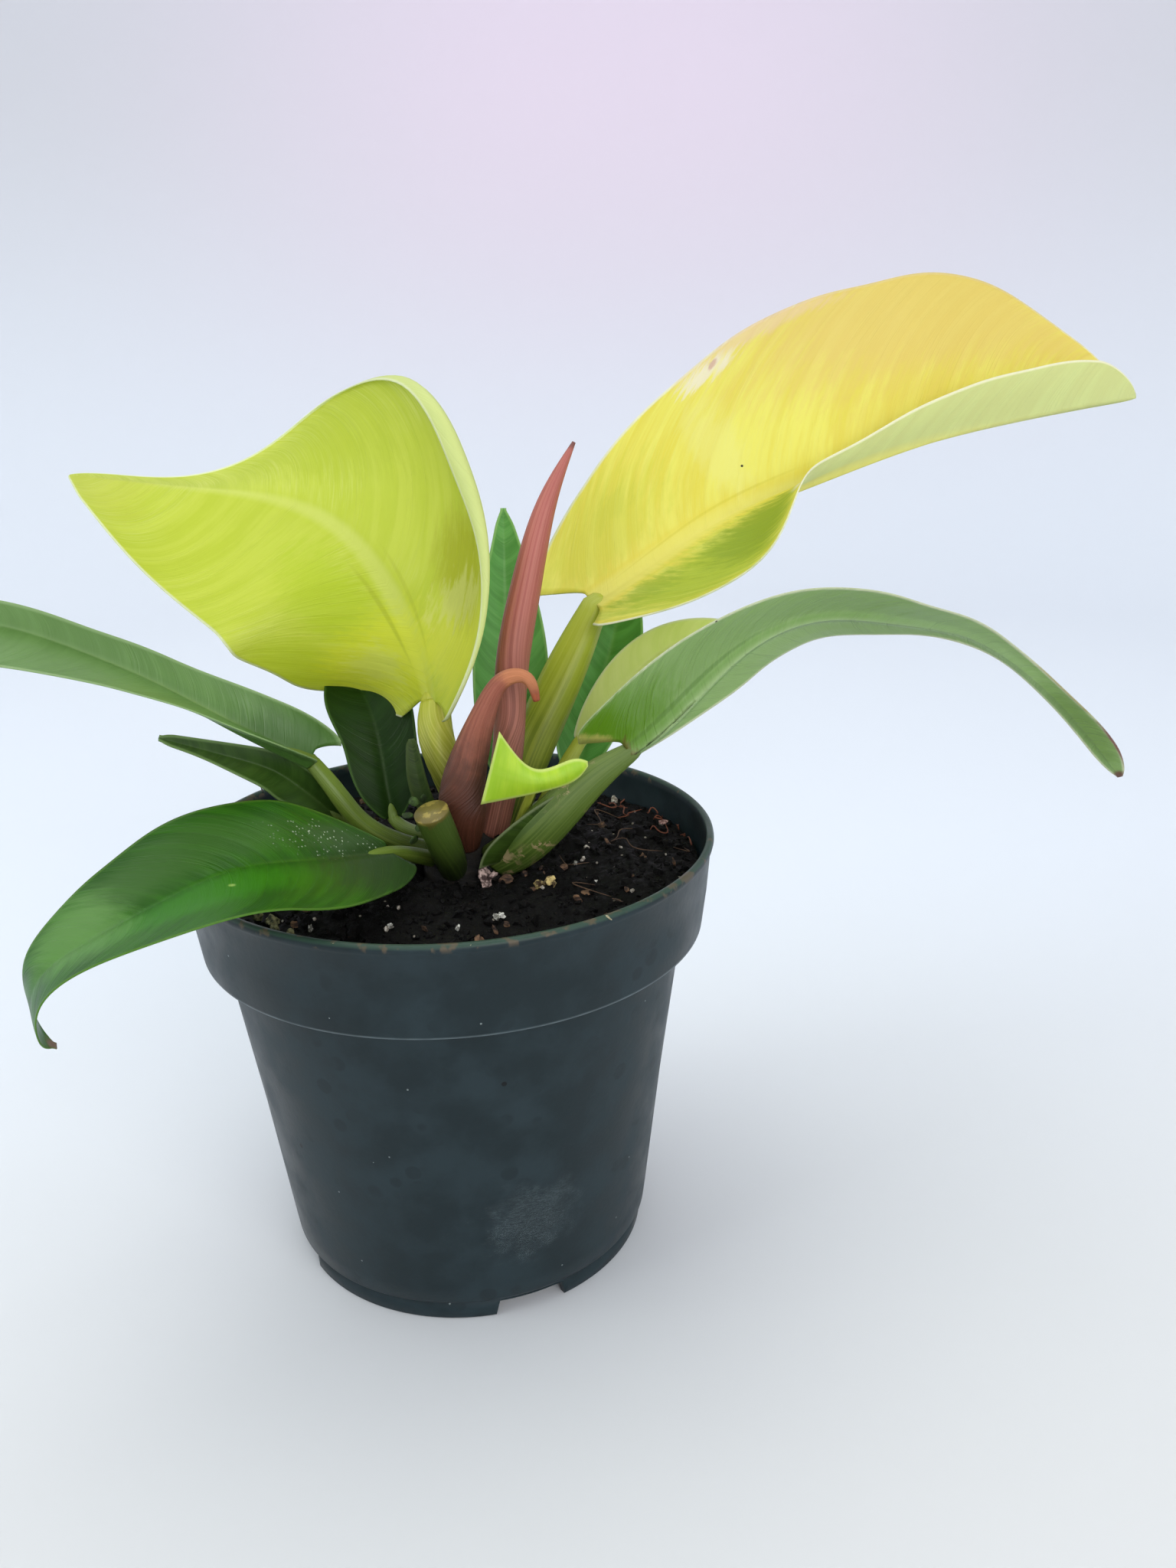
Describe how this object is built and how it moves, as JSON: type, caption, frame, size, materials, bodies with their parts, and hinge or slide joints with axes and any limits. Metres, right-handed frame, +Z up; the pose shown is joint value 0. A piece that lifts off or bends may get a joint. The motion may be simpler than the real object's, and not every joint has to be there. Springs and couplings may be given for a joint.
{
  "type": "potted plant",
  "caption": "Young philodendron with lime, golden and dark green leaves, a rolled red spear leaf and a cut stem stub, growing in soil in a dark tapered nursery pot",
  "frame": {"origin": "centre of the flat pad under the pot, on the plane the pot stands on", "axes": "+Z up along the pot's axis, -Y toward the side seen in the picture, +X toward the golden leaf"},
  "size_m": [0.2546, 0.1206, 0.1979],
  "materials": {
    "pot_plastic": "satin dark slate green",
    "potting_soil": "damp crumbly peat with pale grains",
    "lime_leaf": "soft waxy sheen, lime green",
    "golden_leaf": "soft waxy sheen, golden yellow",
    "green_leaf": "soft waxy sheen, mid green",
    "dark_leaf": "soft waxy sheen, dark green",
    "pale_stem": "smooth pale yellow green stalk",
    "green_stem": "smooth olive green stalk",
    "red_sheath": "dusty pink red, matte",
    "brown_stem": "dry corky cut stem"
  },
  "bodies": {
    "root": {"pot": "pot_plastic", "soil": "potting_soil", "crown": "brown_stem", "blade_tall_lime": "lime_leaf", "petiole_tall_lime": "pale_stem", "blade_golden": "golden_leaf", "petiole_golden": "pale_stem", "blade_arching": "green_leaf", "petiole_arching": "green_stem", "blade_behind_arching": "lime_leaf", "petiole_behind_arching": "pale_stem", "blade_far_left": "green_leaf", "petiole_far_left": "green_stem", "blade_low_left": "green_leaf", "petiole_low_left": "green_stem", "blade_folded_left": "dark_leaf", "petiole_folded_left": "green_stem", "blade_dark_left": "dark_leaf", "petiole_dark_left": "green_stem", "blade_back_upright": "green_leaf", "petiole_back_upright": "green_stem", "blade_back_right": "green_leaf", "petiole_back_right": "green_stem", "blade_young": "lime_leaf", "petiole_young": "pale_stem", "new_leaf_spear": "red_sheath", "new_leaf_sheath": "red_sheath", "torn_sheath": "green_stem", "cut_stub": "brown_stem"}
  },
  "joints": []
}
